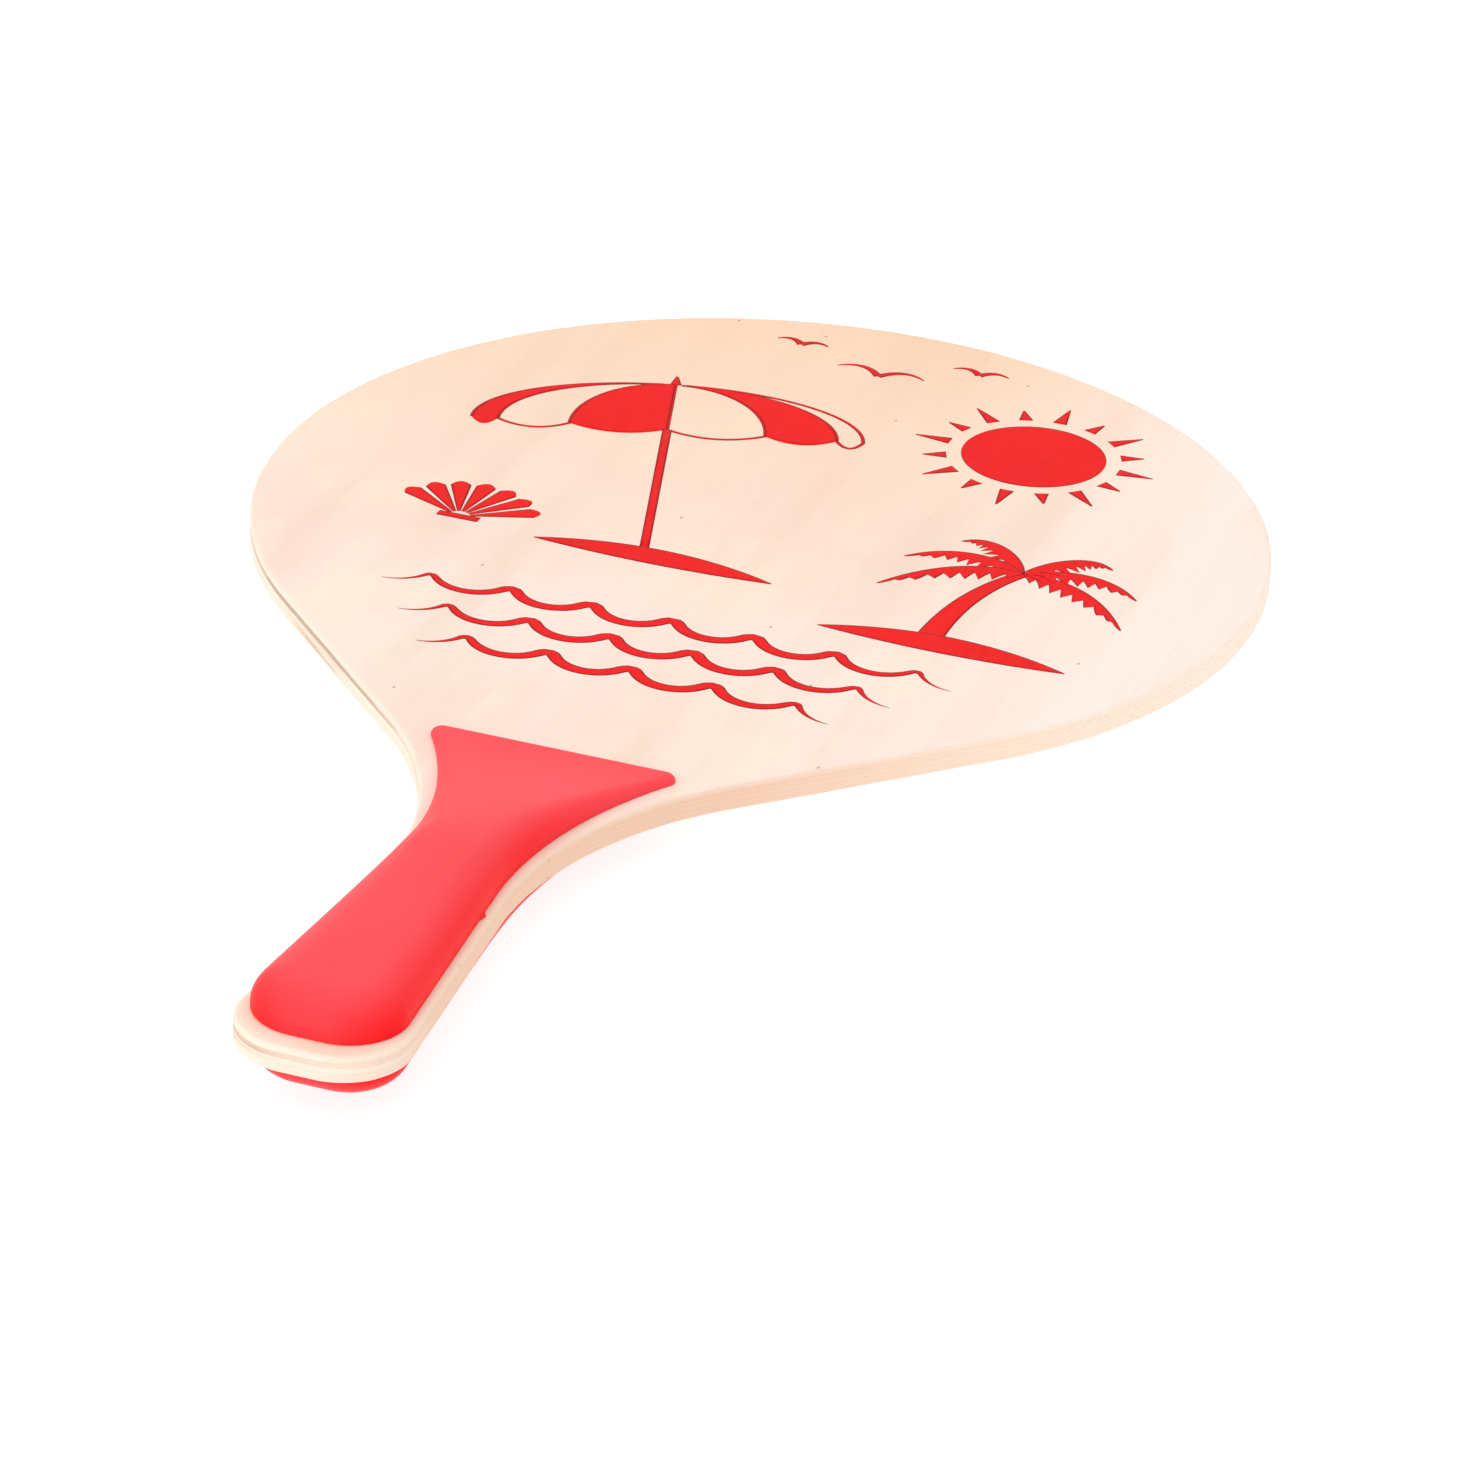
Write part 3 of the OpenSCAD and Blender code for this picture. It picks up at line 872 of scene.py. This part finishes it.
def palm():
    """A bent trunk on a heap of sand, and drooping fronds. Each is a parabola that swells by a sine along
    it, with saw teeth on its lower side."""
    share = np.linspace(0, 1, TOOTH_POINTS * FROND_TEETH + 1)
    trunk_half = TRUNK_HALF[0] + (TRUNK_HALF[1] - TRUNK_HALF[0]) * share
    strips = [ribbon(bow(TRUNK_FOOT, TRUNK_BEND, CROWN_AT, share), trunk_half, trunk_half)]
    body = FROND_HALF * np.sin(math.pi * share ** FROND_FULL)
    teeth = TOOTH_NOTCH + (1 - TOOTH_NOTCH) * (share * FROND_TEETH % 1)
    upper = FROND_STEM + FROND_UPPER * body
    lower = FROND_STEM + teeth * body
    for turn in FROND_TURNS:
        out = FROND_LEN * heading(math.radians(turn))
        bend = CROWN_AT + FROND_BEND * out + [0.0, FROND_LIFT]
        end = CROWN_AT + out - [0.0, FROND_DROOP * FROND_LEN]
        sides = (lower, upper) if out[0] > 0 else (upper, lower)
        strips.append(ribbon(bow(CROWN_AT, bend, end, share), *sides))
    return strips + [heap(ISLAND_AT, ISLAND_HALF, ISLAND_H)]


def waves():
    """Three bands of sea. Each lies on a trochoid, the path of a point inside a rolling wheel, and thins to
    nothing at both of its ends, in a trough."""
    strips = []
    for level, count in zip(WAVE_HEIGHTS, WAVE_COUNTS):
        roll = np.linspace(-count, count, WAVE_POINTS) * math.pi
        turn = roll + (count + 1) * math.pi
        x = (roll - WAVE_ROLL * np.sin(turn)) * WAVE_LEN / (2 * math.pi)
        path = np.stack([x, level + WAVE_RISE * np.cos(turn)], axis=1)
        thin = WAVE_TIP + WAVE_BAND * (1 - (roll / roll[-1]) ** WAVE_TAPER)
        strips.append(ribbon(path, 0 * thin, thin))
    return strips


def shell():
    """A fan of ribs from one point, each widening outwards to a round end, on a short straight hinge."""
    strips = []
    step = SHELL_SPREAD / SHELL_RIBS
    reach = np.linspace(SHELL_START, 1, SHELL_POINTS)[:, None] * SHELL_R
    for rib in range(SHELL_RIBS):
        turn = QUARTER - SHELL_SPREAD / 2 + (rib + 0.5) * step
        right = SHELL_AT + reach * heading(turn - SHELL_RIB_HALF * step)
        left = SHELL_AT + reach * heading(turn + SHELL_RIB_HALF * step)
        strips.append(strip(right, left, SHELL_SWELL * heading(turn)))
    hinge = SHELL_AT + np.linspace(-HINGE_HALF, HINGE_HALF, HINGE_POINTS)[:, None] * np.array([1.0, 0.0])
    strips.append(ribbon(hinge, HINGE_THICK, HINGE_THICK))
    return strips


def gulls():
    """Birds far off: each wing a parabola from the body out to its tip, thickest at the body."""
    strips = []
    share = np.linspace(0, 1, WING_POINTS)
    thin = WING_TIP + WING_ROOT * (1 - share) ** WING_TAPER
    for x, y, span in GULLS:
        body = np.array([x, y])
        for side in (-1, 1):
            outwards = span * np.array([side, 1])
            wing = bow(body, body + outwards * WING_BEND, body + outwards * WING_END, share)
            strips.append(ribbon(wing, thin, thin))
    return strips


def print_motif(name, strips, material):
    """One motif of the print: its patches in one film of ink, with its foot sunk into the veneer. Each
    patch lies a hair above the one before, so that only one shows where two of them cross."""
    vertices, faces, values = [], [], []
    first = 0
    for order, patch in enumerate(strips):
        rows, columns = patch.shape[:2]
        level = np.full((rows, columns, 1), FRONT_Z + INK_T + order * INK_STEP)
        vertices.append(np.concatenate([patch + blade_centre, level], axis=-1).reshape(-1, 3))
        faces.append(grid_faces(first + np.arange(rows * columns).reshape(rows, columns)))
        edge = np.zeros((rows, columns))
        edge[:, [0, -1]] = 1
        values.append(edge.ravel())
        first += rows * columns
    made = make_piece(name, np.concatenate(vertices), np.concatenate(faces), material,
                      np.concatenate(values))
    film = made.modifiers.new("film", "SOLIDIFY")
    film.thickness = (INK_T + INK_SUNK) * MM
    film.offset = -1


red_ink = screen_printed_ink()
for motif in (sun, parasol, palm, waves, shell, gulls):
    print_motif("print_" + motif.__name__, motif(), red_ink)


# The stage: floor, light and camera

# The paddle lies on the end of the rear grip's crest and on the rear rim of the tip
tip_y = BUTT_Y + OVERALL_LENGTH - ARRIS_R
FLOOR_SLOPE = REAR_Z / (tip_y - ramp_start)
# The floor lies a hair lower, and reaches far past the view
FLOOR_SINK = 0.05
FLOOR_REACH = 4000.0

# Even light from all round, and square soft boxes: place and side in metres, and power in watts
WORLD_LIGHT = 1.0
SOFT_BOXES = {
    "top_box": ((-0.9, -0.7, 1.7), 1.6, 2),
    "front_box": ((-0.9, -1.7, 0.6), 1.4, 12),
    "back_box": ((-0.7, 2.0, 1.1), 2.0, 4),
}

# The camera stands where the photograph was taken from. The lens is in millimetres
CAMERA_PLACE = Vector((402.3, -1128.2, 608.0)) * MM
CAMERA_AIM = Vector((31.3, -29.8, FRONT_Z)) * MM
CAMERA_ROLL = math.radians(-2.9)
CAMERA_LENS = 150.56


def make_floor():
    """A flat sheet through the two places where the paddle touches it."""
    side = np.array([-FLOOR_REACH, FLOOR_REACH])
    x, y = np.meshgrid(side, side, indexing="ij")
    z = FLOOR_SLOPE * (y - ramp_start) - FLOOR_SINK
    corners = np.stack([x, y, z], axis=-1).reshape(-1, 3)
    mesh = bpy.data.meshes.new("floor")
    mesh.from_pydata((corners * MM).tolist(), [], [[0, 2, 3, 1]])
    mesh.materials.append(pale_floor())
    floor = bpy.data.objects.new("floor", mesh)
    bpy.context.scene.collection.objects.link(floor)


def make_world():
    """Even white light from all round, as in a white studio."""
    world = bpy.data.worlds.new("white_studio")
    world.use_nodes = True
    background = world.node_tree.nodes["Background"]
    background.inputs["Color"].default_value = colour("#ffffff")
    background.inputs["Strength"].default_value = WORLD_LIGHT
    bpy.context.scene.world = world


def make_light(name, place, side, power):
    """A square soft box at place, turned to the frame's origin."""
    lamp = bpy.data.lights.new(name, "AREA")
    lamp.size = side
    lamp.energy = power
    made = bpy.data.objects.new(name, lamp)
    made.location = place
    made.rotation_euler = (-Vector(place)).to_track_quat("-Z", "Y").to_euler()
    bpy.context.scene.collection.objects.link(made)


def make_camera():
    """The camera looks from its place to its aim, with its top leaning over by the roll."""
    ahead = (CAMERA_AIM - CAMERA_PLACE).normalized()
    level_right = ahead.cross(Vector((0, 0, 1))).normalized()
    level_up = level_right.cross(ahead)
    up = level_up * math.cos(CAMERA_ROLL) + level_right * math.sin(CAMERA_ROLL)
    turned = Matrix((ahead.cross(up), up, -ahead)).transposed().to_4x4()
    data = bpy.data.cameras.new("camera")
    data.lens = CAMERA_LENS
    made = bpy.data.objects.new("camera", data)
    made.matrix_world = Matrix.Translation(CAMERA_PLACE) @ turned
    bpy.context.scene.collection.objects.link(made)
    bpy.context.scene.camera = made


make_floor()
make_world()
for box_name, (box_place, box_side, box_power) in SOFT_BOXES.items():
    make_light(box_name, box_place, box_side, box_power)
make_camera()
bpy.context.scene.view_settings.view_transform = "Standard"
